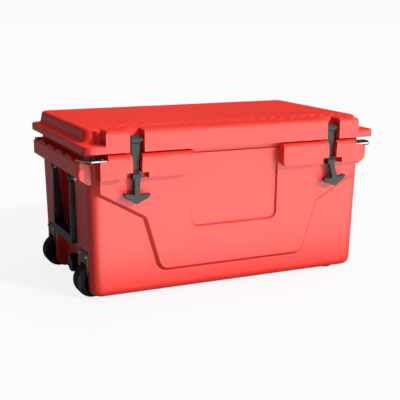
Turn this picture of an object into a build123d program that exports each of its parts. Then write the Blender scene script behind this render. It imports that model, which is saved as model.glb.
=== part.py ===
from build123d import *
import os
from math import cos, radians, sin, tan

# Wheeled, foam-filled cold box. Millimetres, +X right along the length, +Y to the hinge side, +Z up.
# The origin is on the floor, under the middle of the whole box with its latches.

# ---------------------------------------------------------------- driving dimensions
# tub
ground_clearance = 9
rim_height = 369.5
tub_length = 772
tub_depth = 446
tub_corner = 30
wall_draft = 1.3
base_edge = 20
skin = 6
end_wall = 59
side_wall = 48
room_corner = 34
room_draft = 1.8
room_floor = 58
floor_edge = 14

# lid
lid_gap = 5
end_overhang = 20
side_overhang = 32
lid_corner = 28
flange_thickness = 18.5
flange_edge = 4
crown_rise = 34
crown_end_inset = 18
crown_back_inset = 24
crown_slope = 5
crown_corner = 24
crown_edge = 9
crown_foot = 12
notch_length = 55
notch_depth = 50
notch_corner = 14
pan_drop = 9
pan_slope = 3
pan_clearance = 4

# raised panel on the front wall; insets are from the tub's end, drops from its rim
relief_height = 9
relief_bevel = 45
relief_inset_top = 18
relief_inset_waist = 137.5
relief_inset_foot = 179
relief_drop_shoulder = 99.5
relief_drop_waist = 167.5
relief_rise_foot = 53
relief_round = 4
relief_foot_round = 32
window_half = 122
window_drop = 196
window_depth = 6
window_round = 16
window_bevel = 30

# bumpers that carry the latch keepers
bumper_margin = 4
bumper_inset = 20
bumper_drop = 59.5
bumper_root = 11
bumper_edge = 12
bumper_edge_small = 2.5
bumper_chamfer = 9

# ledges at the two ends
ledge_reach = 23.5
ledge_inset = 11
ledge_foot_drop = 74.5
ledge_bottom_drop = 56.5
ledge_step_drop = 21
ledge_top_drop = 14.5
ledge_step_inset = 3
ledge_corner = 8
scallop_count = 5
scallop_pitch = 84
scallop_radius = 44
scallop_depth = 5
scallop_reach = 13

# rear ledge and hinge
rear_ledge_reach = 13
rear_ledge_drop = 46
rear_ledge_slope = 22
rear_ledge_inset = 34
hinge_rise = 2.5
hinge_setback = 8
hinge_radius = 9
hinge_inset = 134
knuckle_width = 26
knuckle_gap = 2
knuckle_web = 34
knuckle_root = 6
rod_radius = 4
rod_head_radius = 6
rod_head = 1.5
running_clearance = 0.05
pick_band = 0.5

# latches; drops are from the rim
latch_inset = 112.5
latch_pin_radius = 3
latch_pin_setback = 18.5
latch_pin_drop = 25
latch_pin_inset = 3
latch_pin_grip = 24
latch_pin_tip = 3
pin_counterbore = 5
barrel_radius = 10.5
barrel_width = 24.5
barrel_edge = 1
latch_recess_width = 37
latch_recess_depth = 33
latch_recess_flare = 12
strap_thickness = 8
strap_top_width = 24.5
strap_bottom_width = 13.5
strap_setback = 14
strap_blend = 8
nick_drop = 40
nick_depth = 1.6
block_width = 21
block_top_drop = 42.5
block_wide_drop = 51
block_bottom_drop = 63
block_setback = 4.5
block_edge = 2
tail_width = 15.5
tail_thickness = 10.5
tail_setback = 3.5
tail_root = 6
tail_edge = 2
tee_half = 34.5
tee_junction = 36.5
tee_tip = 33
tee_tip_round = 3.5
tee_belly = 47
tee_reach = 60
tee_point_round = 3
left_tail_lean = -3
right_tail_lean = 6
left_tail_bend = 2.4
right_tail_bend = 7.7
keeper_slot_top = 28
keeper_slot_bottom = 23.6
keeper_slot_waist_drop = 23.5
keeper_slot_depth = 26
keeper_pocket_width = 58
keeper_pocket_top_drop = 44.5
keeper_pocket_depth = 28

# lock plates; insets are from the tub's end, places across from its front face
plate_thickness = 3
plate_clearance = 1
plate_inner_inset = 39
plate_nose = 13
plate_back = 25
plate_front_gap = 4
plate_screw_inset = 18
plate_screw_back = 17
plate_tip_screw_inset = 31
plate_tip_screw_front = 11
lock_hole_front = 13
corner_clear = 120
lock_bore_radius = 5.5
bush_radius = 8
bush_flange_radius = 11
bush_flange = 4

# end handles
recess_half = 98
recess_depth = 32
recess_top_drop = 58.5
recess_corner = 10
right_recess_bottom = 96
pivot_drop = 76.5
handle_boss_radius = 8.5
handle_half = 86
handle_arm = 12
handle_reach = 6
handle_boss_step = 1
handle_top_depth = 12
handle_grip_depth = 28
handle_grip_height = 23
handle_grip_bottom = 117
handle_corner = 14
handle_pin_radius = 4
handle_pin_inset = 3
handle_pin_hold = 20

# wheels; insets are from the tub's end
wheel_radius = 42
wheel_width = 40
wheel_inset = 23
wheel_side_inset = 73
tyre_crown = 5
hub_radius = 28
hub_boss_radius = 12
hub_web = 8
hub_rim = 4
wheel_side_gap = 1
axle_radius = 5
axle_head_radius = 9
axle_head = 3.5
fork_thickness = 2.5
fork_eye_radius = 13
pocket_half = 29.5
pocket_top = 97
pocket_inset = 70
pocket_round = 30
bracket_seat_inset = 6.5
bracket_half = 33
bracket_top = 119
bracket_leg_bottom = 70
bracket_web_bottom = 87
bracket_corner = 5
bracket_screw_half = 25
bracket_screw_height = 108
seat_clearance = 2
well_wall = 12

# drain
drain_height = 46
drain_bore = 8.5
drain_tube_radius = 12
drain_washer_radius = 20
drain_washer_thickness = 1.5
drain_flange_radius = 21
drain_flange = 4
drain_neck_radius = 14
drain_neck = 10
drain_nut_radius = 17
drain_nut_thickness = 7
drain_seat_radius = 19
drain_seat_inset = 68
cap_radius = 22
cap_end = 4
cap_flutes = 12
cap_flute_radius = 2.5
cap_groove = 2.5
leash_thickness = 1.2
leash_width = 7
leash_ring = 3
leash_clearance = 0.3
trough_width = 44
trough_length = 96
trough_bottom = 26

# feet
foot_radius = 22
foot_inset_x = 70
foot_inset_y = 62
foot_edge = 3

# fasteners
screw_radius = 2.5
screw_head_radius = 5
screw_head = 3
screw_head_taper = 20
screw_length = 18

# foam filling ports
port_radius = 14
port_inset = 204

# gasket
gasket_width = 10
gasket_inset = 8
groove_depth = 4
gasket_rest = 0.3

# ---------------------------------------------------------------- worked-out places
half_length = tub_length / 2
half_depth = tub_depth / 2
room_length = tub_length - 2 * end_wall
room_depth = tub_depth - 2 * side_wall
lid_length = tub_length + 2 * end_overhang
lid_depth = tub_depth + 2 * side_overhang
crown_length = lid_length - 2 * crown_end_inset
lid_bottom = rim_height + lid_gap
flange_top = lid_bottom + flange_thickness
lid_top = flange_top + crown_rise
lid_front = -lid_depth / 2
beam_half = lid_length / 2 - notch_length
draft_run = (rim_height - ground_clearance) * tan(radians(wall_draft))
room_run = (rim_height - room_floor) * tan(radians(room_draft))
window_sill = rim_height - window_drop
bumper_inner = window_half + bumper_margin
bumper_outer = half_length - bumper_inset
bumper_bottom = rim_height - bumper_drop
ledge_end = half_length + ledge_reach
ledge_half = half_depth - ledge_inset
ledge_foot = rim_height - ledge_foot_drop
ledge_bottom = rim_height - ledge_bottom_drop
ledge_step = rim_height - ledge_step_drop
ledge_top = rim_height - ledge_top_drop
hinge_height = rim_height + hinge_rise
hinge_y = lid_depth / 2 - hinge_setback
hinge_centers = (hinge_inset - half_length, half_length - hinge_inset)
knuckle_step = knuckle_width + knuckle_gap
hinge_half = 2 * knuckle_step + knuckle_width / 2
mid_y = (lid_depth / 2 - hinge_y - hinge_radius) / 2
latch_place = half_length - latch_inset
latch_pin_y = lid_front + latch_pin_setback
latch_pin_height = lid_top - latch_pin_drop
latch_pin_start = latch_place - latch_recess_width / 2 - latch_pin_grip
lock_hole_x = half_length
lock_hole_y = half_depth + lock_hole_front
channel_x = half_length - recess_depth
recess_top = rim_height - recess_top_drop
pivot_x = half_length
pivot_height = rim_height - pivot_drop
handle_outer_x = half_length + handle_reach
wheel_center_x = half_length - wheel_inset
wheel_half_track = half_depth - wheel_side_inset
fork_half = wheel_width / 2 + wheel_side_gap
pocket_end_x = half_length - pocket_inset
bracket_seat_x = half_length - bracket_seat_inset
drain_seat_x = half_length - drain_seat_inset
foot_x = half_length - foot_inset_x
foot_y = half_depth - foot_inset_y
port_spacing = 2 * (half_length - port_inset)
sides = {-1: "left", 1: "right"}
rows = {-1: "front", 1: "rear"}
tail_leans = {-1: left_tail_lean, 1: right_tail_lean}
tail_bends = {-1: left_tail_bend, 1: right_tail_bend}
plate_screws = (
    (half_length - plate_screw_inset, plate_screw_back - half_depth),
    (half_length - plate_tip_screw_inset, -half_depth - plate_tip_screw_front),
)


def level(height):
    """Horizontal plane at a height, centred on the lid."""
    return Plane(origin=(0, mid_y, height))


def facing(y, x=0):
    """Upright plane looking at the front, x to the right and height up."""
    return Plane(origin=(x, mid_y + y, 0), x_dir=(1, 0, 0), z_dir=(0, -1, 0))


def profile(x=0):
    """Upright plane across the box, y to the rear and height up."""
    return Plane(origin=(x, mid_y, 0), x_dir=(0, 1, 0), z_dir=(1, 0, 0))


def end_on(x, end, y=0):
    """Upright plane that faces out of one end; x is its distance from the middle."""
    return Plane(origin=(end * x, mid_y + y, 0), x_dir=(0, end, 0), z_dir=(end, 0, 0))


def wall_at(half, height):
    """Half size of the drafted outside of the tub at a height."""
    return half - (rim_height - height) * tan(radians(wall_draft))


def room_at(half, height):
    """Half size of the drafted inside of the tub at a height."""
    return half - (rim_height - height) * tan(radians(room_draft))


front_tilt = radians(wall_draft)
front_wall = Plane(
    origin=(0, mid_y - tub_depth / 2, rim_height),
    x_dir=(1, 0, 0),
    z_dir=(0, -cos(front_tilt), -sin(front_tilt)),
)
knuckle_places = []
for center in hinge_centers:
    for step in (-2, -1, 0, 1, 2):
        knuckle_places.append((center + step * knuckle_step, step % 2 == 0))
tub_knuckles = [x for x, on_tub in knuckle_places if on_tub]
lid_knuckles = [x for x, on_tub in knuckle_places if not on_tub]

os.makedirs("parts", exist_ok=True)

# ---------------------------------------------------------------- room inside the tub
# The space that is cooled: a drafted well with humps over the wheels and a trough to the drain.
with BuildPart() as tub_room:
    with BuildSketch(level(room_floor)):
        RectangleRounded(room_length - 2 * room_run, room_depth - 2 * room_run, room_corner - floor_edge / 2)
    with BuildSketch(level(rim_height)):
        RectangleRounded(room_length, room_depth, room_corner)
    loft(ruled=True)
    fillet(tub_room.edges().group_by(Axis.Z)[0], floor_edge)
    hump_x = pocket_end_x - well_wall
    for row in rows:
        with BuildSketch(level(room_floor)):
            with Locations((-hump_x, row * (wheel_half_track - pocket_half - well_wall))):
                Rectangle(room_length, room_depth, align=(Align.MAX, Align.MIN if row > 0 else Align.MAX))
        extrude(amount=pocket_top + well_wall - room_floor, mode=Mode.SUBTRACT)
    with BuildSketch(level(trough_bottom)):
        with Locations((-room_at(room_length / 2, drain_height), 0)):
            Rectangle(trough_length, trough_width, align=(Align.MIN, Align.CENTER))
    extrude(amount=room_floor + floor_edge - trough_bottom)
    with BuildSketch(end_on(drain_seat_x, -1)):
        with Locations((0, drain_height)):
            Circle(drain_seat_radius)
    extrude(amount=-trough_length / 2)

# ---------------------------------------------------------------- foam space of the tub
# Everything between the outer and the inner skin, kept one skin away from each recess.
with BuildPart() as tub_core:
    for height in (ground_clearance + skin, rim_height - skin):
        with BuildSketch(level(height)):
            RectangleRounded(
                2 * wall_at(half_length - skin, height),
                2 * wall_at(half_depth - skin, height),
                tub_corner - skin,
            )
    loft(ruled=True)
    for height in (room_floor - skin, rim_height):
        with BuildSketch(level(height)):
            RectangleRounded(
                2 * room_at(room_length / 2 + skin, height),
                2 * room_at(room_depth / 2 + skin, height),
                room_corner + skin,
            )
    loft(ruled=True, mode=Mode.SUBTRACT)
    with BuildSketch(level(ground_clearance)):
        with Locations((-half_length, 0)):
            Rectangle(
                half_length - room_at(room_length / 2, drain_height) + trough_length + skin,
                trough_width + 2 * skin,
                align=(Align.MIN, Align.CENTER),
            )
    extrude(amount=room_floor + skin - ground_clearance, mode=Mode.SUBTRACT)
    for end in sides:
        recess_bottom = ground_clearance if end < 0 else right_recess_bottom
        with BuildSketch(end_on(channel_x - skin, end)):
            with Locations((0, recess_bottom - skin)):
                Rectangle(
                    2 * (recess_half + handle_pin_hold + skin),
                    recess_top - recess_bottom + 2 * skin,
                    align=(Align.CENTER, Align.MIN),
                )
        extrude(amount=tub_length, mode=Mode.SUBTRACT)
        with BuildSketch(level(ledge_bottom)):
            with Locations((end * half_length, -half_depth)):
                Rectangle(corner_clear, corner_clear)
        extrude(amount=rim_height - ledge_bottom, mode=Mode.SUBTRACT)
    for row in rows:
        with BuildSketch(level(ground_clearance)):
            with Locations((-(pocket_end_x - skin), row * wheel_half_track)):
                Rectangle(tub_length, 2 * (bracket_half + skin), align=(Align.MAX, Align.CENTER))
        extrude(amount=bracket_top + skin - ground_clearance, mode=Mode.SUBTRACT)
        with BuildSketch(level(ground_clearance)):
            with Locations((foot_x, row * foot_y)):
                Circle(screw_head_radius + skin)
        extrude(amount=screw_length + skin, mode=Mode.SUBTRACT)

# ---------------------------------------------------------------- tub shell
with BuildPart() as tub_shell:
    with BuildSketch(level(ground_clearance)):
        RectangleRounded(tub_length - 2 * draft_run, tub_depth - 2 * draft_run, tub_corner)
    with BuildSketch(level(rim_height)):
        RectangleRounded(tub_length, tub_depth, tub_corner)
    loft(ruled=True)
    fillet(tub_shell.edges().group_by(Axis.Z)[0], base_edge)

    # raised panel with bevelled edges, and the plain window in it
    with BuildSketch(front_wall):
        with BuildLine():
            Polyline(
                (0, -relief_height),
                (half_length - relief_inset_top, -relief_height),
                (half_length - relief_inset_top, -relief_drop_shoulder),
                (half_length - relief_inset_waist, -relief_drop_waist),
                (half_length - relief_inset_foot, ground_clearance + relief_rise_foot - rim_height),
                (0, ground_clearance + relief_rise_foot - rim_height),
            )
            mirror(about=Plane.YZ)
        make_face()
        fillet(vertices().group_by(Axis.Y)[0].filter_by(lambda v: abs(v.X) > 1), relief_foot_round)
        fillet(vertices().filter_by_position(Axis.Y, -relief_drop_waist - 1, -relief_height - 1), relief_round)
    extrude(amount=relief_height, taper=relief_bevel)
    with BuildSketch(front_wall.offset(relief_height - window_depth)):
        with Locations((0, window_sill - rim_height)):
            Rectangle(
                2 * window_half - 2 * window_depth * tan(radians(window_bevel)),
                2 * window_drop,
                align=(Align.CENTER, Align.MIN),
            )
        fillet(vertices(), window_round)
    extrude(amount=window_depth, taper=-window_bevel, mode=Mode.SUBTRACT)

    # bumpers for the latch keepers
    bumper_back = half_depth - bumper_root
    for end in sides:
        with BuildSketch(facing(lid_front)):
            with BuildLine():
                Polyline(
                    (end * bumper_inner, rim_height),
                    (end * bumper_inner, bumper_bottom + bumper_chamfer),
                    (end * (bumper_inner + bumper_chamfer), bumper_bottom),
                    (end * bumper_outer, bumper_bottom),
                    (end * bumper_outer, rim_height),
                    close=True,
                )
            make_face()
        extrude(amount=lid_front + bumper_back)
    bumper_front = tub_shell.faces().filter_by_position(
        Axis.Y, mid_y + lid_front - pick_band, mid_y + lid_front + pick_band
    )
    fillet(bumper_front.edges().group_by(Axis.Z)[-1], bumper_edge)
    bumper_front = tub_shell.faces().filter_by_position(Axis.Y, mid_y + lid_front - 1, mid_y + lid_front + 1)
    fillet(bumper_front.edges().group_by(Axis.Z)[0], bumper_edge_small)

    # ledges at the two ends, with a row of finger scallops along the top
    with BuildSketch(level(ledge_foot)):
        RectangleRounded(2 * ledge_end, 2 * ledge_half, ledge_corner)
    extrude(amount=ledge_step - ledge_foot)
    with BuildSketch(level(ledge_step)):
        RectangleRounded(2 * (ledge_end - ledge_step_inset), 2 * (ledge_half - ledge_step_inset), ledge_corner)
    extrude(amount=ledge_top - ledge_step)
    for end in sides:
        with BuildSketch(facing(0)):
            with BuildLine():
                Polyline(
                    (end * wall_at(half_length, ledge_foot), ledge_foot),
                    (end * ledge_end, ledge_bottom),
                    (end * 2 * ledge_end, ledge_bottom),
                    (end * 2 * ledge_end, ledge_foot),
                    close=True,
                )
            make_face()
        extrude(amount=tub_depth, both=True, mode=Mode.SUBTRACT)
        with BuildSketch(end_on(ledge_end - scallop_reach, end)):
            with Locations((0, ledge_top + scallop_radius - scallop_depth)):
                with GridLocations(scallop_pitch, 1, scallop_count, 1):
                    Circle(scallop_radius)
        extrude(amount=scallop_radius, mode=Mode.SUBTRACT)

    # rear ledge with the hinge knuckles
    rear_face = half_depth + rear_ledge_reach
    with BuildSketch(profile()):
        with BuildLine():
            Polyline(
                (bumper_back, rim_height),
                (rear_face, rim_height),
                (rear_face, rim_height - rear_ledge_drop + rear_ledge_slope),
                (wall_at(half_depth, rim_height - rear_ledge_drop), rim_height - rear_ledge_drop),
                (bumper_back, rim_height - rear_ledge_drop),
                close=True,
            )
        make_face()
    extrude(amount=half_length - rear_ledge_inset, both=True)
    for x in tub_knuckles:
        with BuildSketch(profile(x)):
            with Locations((hinge_y, hinge_height)):
                Circle(hinge_radius)
            with Locations((rear_face, hinge_height - hinge_radius)):
                Rectangle(knuckle_gap, knuckle_web - hinge_radius, align=(Align.MAX, Align.MAX))
            make_hull()
        extrude(amount=knuckle_width / 2, both=True)
        with BuildSketch(profile(x)):
            with Locations((hinge_y, hinge_height)):
                Circle(rod_radius)
        extrude(amount=knuckle_width, both=True, mode=Mode.SUBTRACT)

    # room, foam space and filling ports
    add(tub_room.part, mode=Mode.SUBTRACT)
    add(tub_core.part, mode=Mode.SUBTRACT)
    with BuildSketch(level(ground_clearance)):
        with GridLocations(port_spacing, 1, 2, 1):
            Circle(port_radius)
    extrude(amount=skin, mode=Mode.SUBTRACT)

    # keeper slots and the pockets under them
    for end in sides:
        slot_x = end * latch_place
        with BuildSketch(facing(lid_front, slot_x)):
            with BuildLine():
                Polyline(
                    (0, rim_height + 1),
                    (keeper_slot_top / 2, rim_height + 1),
                    (keeper_slot_bottom / 2, rim_height - keeper_slot_waist_drop),
                    (keeper_slot_bottom / 2, bumper_bottom - 1),
                    (0, bumper_bottom - 1),
                )
                mirror(about=Plane.YZ)
            make_face()
        extrude(amount=-keeper_slot_depth, mode=Mode.SUBTRACT)
        with BuildSketch(facing(lid_front, slot_x)):
            with Locations((0, bumper_bottom - 1)):
                Rectangle(
                    keeper_pocket_width,
                    bumper_drop - keeper_pocket_top_drop + 1,
                    align=(Align.CENTER, Align.MIN),
                )
        extrude(amount=-keeper_pocket_depth, mode=Mode.SUBTRACT)

    # handle recesses
    for end in sides:
        recess_bottom = -ground_clearance if end < 0 else right_recess_bottom
        with BuildSketch(end_on(channel_x, end)):
            with Locations((0, recess_bottom)):
                Rectangle(2 * recess_half, recess_top - recess_bottom, align=(Align.CENTER, Align.MIN))
            fillet(vertices().filter_by_position(Axis.Y, ground_clearance, ledge_top), recess_corner)
        extrude(amount=tub_length, mode=Mode.SUBTRACT)

    # wheel pockets and the flat seats of their brackets
    for row in rows:
        with BuildSketch(facing(row * wheel_half_track)):
            with Locations((-pocket_end_x, pocket_top)):
                Rectangle(tub_length, tub_length, align=(Align.MAX, Align.MAX))
            fillet(vertices().sort_by(Axis.X)[-2:].sort_by(Axis.Y)[-1], pocket_round)
        extrude(amount=pocket_half, both=True, mode=Mode.SUBTRACT)
        with BuildSketch(level(0)):
            with Locations((-bracket_seat_x, row * wheel_half_track)):
                Rectangle(tub_length, 2 * (bracket_half + seat_clearance), align=(Align.MAX, Align.CENTER))
        extrude(amount=bracket_top + seat_clearance, mode=Mode.SUBTRACT)
        with BuildSketch(end_on(bracket_seat_x, -1)):
            with Locations((-row * wheel_half_track, bracket_screw_height)):
                with GridLocations(2 * bracket_screw_half, 1, 2, 1):
                    Circle(screw_radius)
        extrude(amount=-screw_length, mode=Mode.SUBTRACT)

    # lock plate shelves, cut down through the corners of the rim
    plate_inner_x = half_length - plate_inner_inset
    plate_seat_x = ledge_end - ledge_step_inset
    for end in sides:
        with BuildSketch(level(ledge_top)):
            with BuildLine():
                Polyline(
                    (end * (plate_seat_x + plate_clearance), plate_nose - ledge_half),
                    (end * (plate_inner_x + plate_nose), plate_back - half_depth),
                    (end * plate_inner_x, plate_back - half_depth - plate_nose),
                    (end * (plate_inner_x - plate_clearance), lid_front),
                    (end * ledge_end, lid_front),
                    close=True,
                )
            make_face()
        extrude(amount=rim_height, mode=Mode.SUBTRACT)
        with BuildSketch(level(ledge_top)):
            for x, y in plate_screws:
                with Locations((end * x, y)):
                    Circle(screw_radius)
        extrude(amount=-screw_length, mode=Mode.SUBTRACT)

    # bores for the handle pins, the drain and the foot screws
    for end in sides:
        with BuildSketch(facing(0, end * pivot_x)):
            with Locations((0, pivot_height)):
                Circle(handle_pin_radius)
        extrude(amount=recess_half + handle_pin_hold, both=True, mode=Mode.SUBTRACT)
    with BuildSketch(end_on(channel_x, -1)):
        with Locations((0, drain_height)):
            Circle(drain_tube_radius)
    extrude(amount=-end_wall, mode=Mode.SUBTRACT)
    for row in rows:
        with BuildSketch(level(ground_clearance)):
            with Locations((foot_x, row * foot_y)):
                Circle(screw_radius)
        extrude(amount=screw_length, mode=Mode.SUBTRACT)
tub_shell.part.label = "tub_shell"
export_step(tub_shell.part, "parts/tub_shell.step")

# ---------------------------------------------------------------- foam and port plugs of the tub
with BuildPart() as tub_foam:
    add(tub_core.part)
tub_foam.part.label = "tub_foam"
export_step(tub_foam.part, "parts/tub_foam.step")

with BuildPart() as tub_foam_plugs:
    with BuildSketch(level(ground_clearance)):
        with GridLocations(port_spacing, 1, 2, 1):
            Circle(port_radius)
    extrude(amount=skin)
tub_foam_plugs.part.label = "tub_foam_plugs"
export_step(tub_foam_plugs.part, "parts/tub_foam_plugs.step")


# ---------------------------------------------------------------- lid
with BuildPart() as lid_core:
    core_floor = lid_bottom + groove_depth + skin
    with BuildSketch(level(core_floor)):
        with Locations((0, (notch_depth - crown_back_inset) / 2)):
            RectangleRounded(
                crown_length - 2 * crown_slope - 2 * skin,
                lid_depth - notch_depth - crown_back_inset - 2 * crown_slope - 2 * skin,
                crown_corner - skin,
            )
    extrude(amount=lid_top - skin - core_floor)
    with BuildSketch(level(core_floor)):
        with Locations((0, lid_front + skin)):
            Rectangle(
                2 * (latch_pin_start - skin),
                notch_depth + crown_corner,
                align=(Align.CENTER, Align.MIN),
            )
    extrude(amount=lid_top - crown_edge - core_floor)
    with BuildSketch(level(lid_bottom - pan_drop + skin)):
        RectangleRounded(
            room_length - 2 * pan_clearance - 2 * skin,
            room_depth - 2 * pan_clearance - 2 * skin,
            room_corner - pan_clearance - skin,
        )
    extrude(amount=core_floor + pan_drop - lid_bottom)

with BuildPart() as lid_beam:
    with BuildSketch(level(lid_bottom)):
        with Locations((0, lid_front)):
            Rectangle(2 * beam_half, notch_depth + crown_corner, align=(Align.CENTER, Align.MIN))
    extrude(amount=lid_top - lid_bottom)
    beam_top = lid_beam.edges().group_by(Axis.Z)[-1]
    fillet(beam_top.filter_by(Axis.Y) + beam_top.filter_by(Axis.X).sort_by(Axis.Y)[0:1], crown_edge)

with BuildPart() as lid_shell:
    with BuildSketch(level(lid_bottom)):
        RectangleRounded(lid_length, lid_depth, lid_corner)
    extrude(amount=flange_thickness)
    fillet(lid_shell.edges().group_by(Axis.Z)[-1], flange_edge)

    # crown, with steep walls that flare out at the foot
    crown_depth = lid_depth - notch_depth - crown_back_inset
    crown_y = (notch_depth - crown_back_inset) / 2
    for height, inset in ((flange_top, 0), (lid_top, crown_slope)):
        with BuildSketch(level(height)):
            with Locations((0, crown_y)):
                RectangleRounded(crown_length - 2 * inset, crown_depth - 2 * inset, crown_corner)
    loft(ruled=True)
    fillet(lid_shell.edges().group_by(Axis.Z)[-1], crown_edge)
    flat_edges = lid_shell.edges().filter_by_position(Axis.Z, flange_top - 0.01, flange_top + 0.01)
    foot_edges = flat_edges.filter_by_position(Axis.X, -crown_length / 2 - 1, crown_length / 2 + 1)
    rear_limit = mid_y + lid_depth / 2 - crown_back_inset + 1
    fillet(foot_edges.filter_by_position(Axis.Y, mid_y + lid_front + notch_depth - 1, rear_limit), crown_foot)

    # front beam, flush with the flange, that carries the latches
    add(lid_beam.part)
    for end in sides:
        for height, inset in ((flange_top, 0), (lid_top - crown_edge / 2, crown_slope)):
            step = lid_front + notch_depth + inset
            with BuildSketch(level(height)):
                with BuildLine():
                    Polyline(
                        (end * beam_half, step - notch_corner),
                        (end * (beam_half - notch_corner), step - notch_corner),
                        (end * (beam_half - notch_corner), step + notch_corner),
                        (end * (beam_half + notch_corner), step + notch_corner),
                        (end * (beam_half + notch_corner), step),
                    )
                    RadiusArc(
                        (end * (beam_half + notch_corner), step),
                        (end * beam_half, step - notch_corner),
                        end * notch_corner,
                    )
                make_face()
        loft(ruled=True)

    # shallow pan that drops into the mouth of the tub, and the gasket groove round it
    for drop, inset in ((0, 0), (pan_drop, pan_slope)):
        with BuildSketch(level(lid_bottom - drop)):
            RectangleRounded(
                room_length - 2 * pan_clearance - 2 * inset,
                room_depth - 2 * pan_clearance - 2 * inset,
                room_corner - pan_clearance - inset,
            )
    loft(ruled=True)
    with BuildSketch(level(lid_bottom)):
        RectangleRounded(
            room_length + 2 * gasket_inset + 2 * gasket_width,
            room_depth + 2 * gasket_inset + 2 * gasket_width,
            room_corner + gasket_inset + gasket_width,
        )
        RectangleRounded(
            room_length + 2 * gasket_inset,
            room_depth + 2 * gasket_inset,
            room_corner + gasket_inset,
            mode=Mode.SUBTRACT,
        )
    extrude(amount=groove_depth, mode=Mode.SUBTRACT)

    # hinge knuckles, and notches that clear the knuckles of the tub
    for x in lid_knuckles:
        with BuildSketch(profile(x)):
            with Locations((hinge_y, hinge_height)):
                Circle(hinge_radius)
            with Locations((hinge_y, lid_bottom)):
                Rectangle(2 * hinge_setback, knuckle_root, align=(Align.CENTER, Align.MIN))
            make_hull()
        extrude(amount=knuckle_width / 2, both=True)
    for x in tub_knuckles:
        with BuildSketch(level(lid_bottom)):
            with Locations((x, hinge_y - hinge_radius - knuckle_gap)):
                Rectangle(knuckle_width + 2 * knuckle_gap, side_overhang, align=(Align.CENTER, Align.MIN))
        extrude(amount=flange_thickness + crown_foot, mode=Mode.SUBTRACT)
    for x in lid_knuckles:
        with BuildSketch(profile(x)):
            with Locations((hinge_y, hinge_height)):
                Circle(rod_radius + running_clearance)
        extrude(amount=knuckle_width, both=True, mode=Mode.SUBTRACT)

    # foam space and filling ports
    add(lid_core.part, mode=Mode.SUBTRACT)
    with BuildSketch(level(lid_bottom - pan_drop)):
        with GridLocations(port_spacing, 1, 2, 1):
            Circle(port_radius)
    extrude(amount=skin, mode=Mode.SUBTRACT)

    # latch recesses scooped down through the front beam, and the bores of their pins
    for end in sides:
        slot_x = end * latch_place
        recess_back = lid_front + latch_recess_depth
        with BuildSketch(profile(slot_x)):
            with BuildLine():
                Line((recess_back, lid_bottom - 1), (recess_back, latch_pin_height))
                TangentArc(
                    (recess_back, latch_pin_height),
                    (recess_back + latch_recess_flare, lid_top + 1),
                    tangent=(0, 1),
                )
                Polyline(
                    (recess_back + latch_recess_flare, lid_top + 1),
                    (lid_front - 1, lid_top + 1),
                    (lid_front - 1, lid_bottom - 1),
                    (recess_back, lid_bottom - 1),
                )
            make_face()
        extrude(amount=latch_recess_width / 2, both=True, mode=Mode.SUBTRACT)
        with BuildSketch(end_on(latch_pin_start, end, latch_pin_y)):
            with Locations((0, latch_pin_height)):
                Circle(latch_pin_radius)
        extrude(amount=beam_half, mode=Mode.SUBTRACT)
        with BuildSketch(end_on(beam_half - latch_pin_inset, end, latch_pin_y)):
            with Locations((0, latch_pin_height)):
                Circle(pin_counterbore)
        extrude(amount=latch_pin_inset, mode=Mode.SUBTRACT)

    # padlock holes through the front corners of the flange
    with BuildSketch(level(lid_bottom)):
        with Locations((-lock_hole_x, -lock_hole_y), (lock_hole_x, -lock_hole_y)):
            Circle(lock_bore_radius)
    extrude(amount=flange_thickness, mode=Mode.SUBTRACT)
lid_shell.part.label = "lid_shell"
export_step(lid_shell.part, "parts/lid_shell.step")

with BuildPart() as lid_foam:
    add(lid_core.part)
lid_foam.part.label = "lid_foam"
export_step(lid_foam.part, "parts/lid_foam.step")

with BuildPart() as lid_foam_plugs:
    with BuildSketch(level(lid_bottom - pan_drop)):
        with GridLocations(port_spacing, 1, 2, 1):
            Circle(port_radius)
    extrude(amount=skin)
lid_foam_plugs.part.label = "lid_foam_plugs"
export_step(lid_foam_plugs.part, "parts/lid_foam_plugs.step")

with BuildPart() as lid_gasket:
    with BuildSketch(level(rim_height + gasket_rest)):
        RectangleRounded(
            room_length + 2 * gasket_inset + 2 * gasket_width,
            room_depth + 2 * gasket_inset + 2 * gasket_width,
            room_corner + gasket_inset + gasket_width,
        )
        RectangleRounded(
            room_length + 2 * gasket_inset,
            room_depth + 2 * gasket_inset,
            room_corner + gasket_inset,
            mode=Mode.SUBTRACT,
        )
    extrude(amount=lid_gap + groove_depth - gasket_rest)
lid_gasket.part.label = "lid_gasket"
export_step(lid_gasket.part, "parts/lid_gasket.step")

# ---------------------------------------------------------------- hinge rods
for end, side in sides.items():
    with BuildPart() as hinge_rod:
        rod_end = hinge_centers[1] + hinge_half
        with BuildSketch(end_on(rod_end, end, hinge_y)):
            with Locations((0, hinge_height)):
                Circle(rod_radius)
        extrude(amount=-2 * hinge_half)
        with BuildSketch(end_on(rod_end, end, hinge_y)):
            with Locations((0, hinge_height)):
                Circle(rod_head_radius)
        extrude(amount=rod_head)
    hinge_rod.part.label = f"hinge_rod_{side}"
    export_step(hinge_rod.part, f"parts/hinge_rod_{side}.step")

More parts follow.
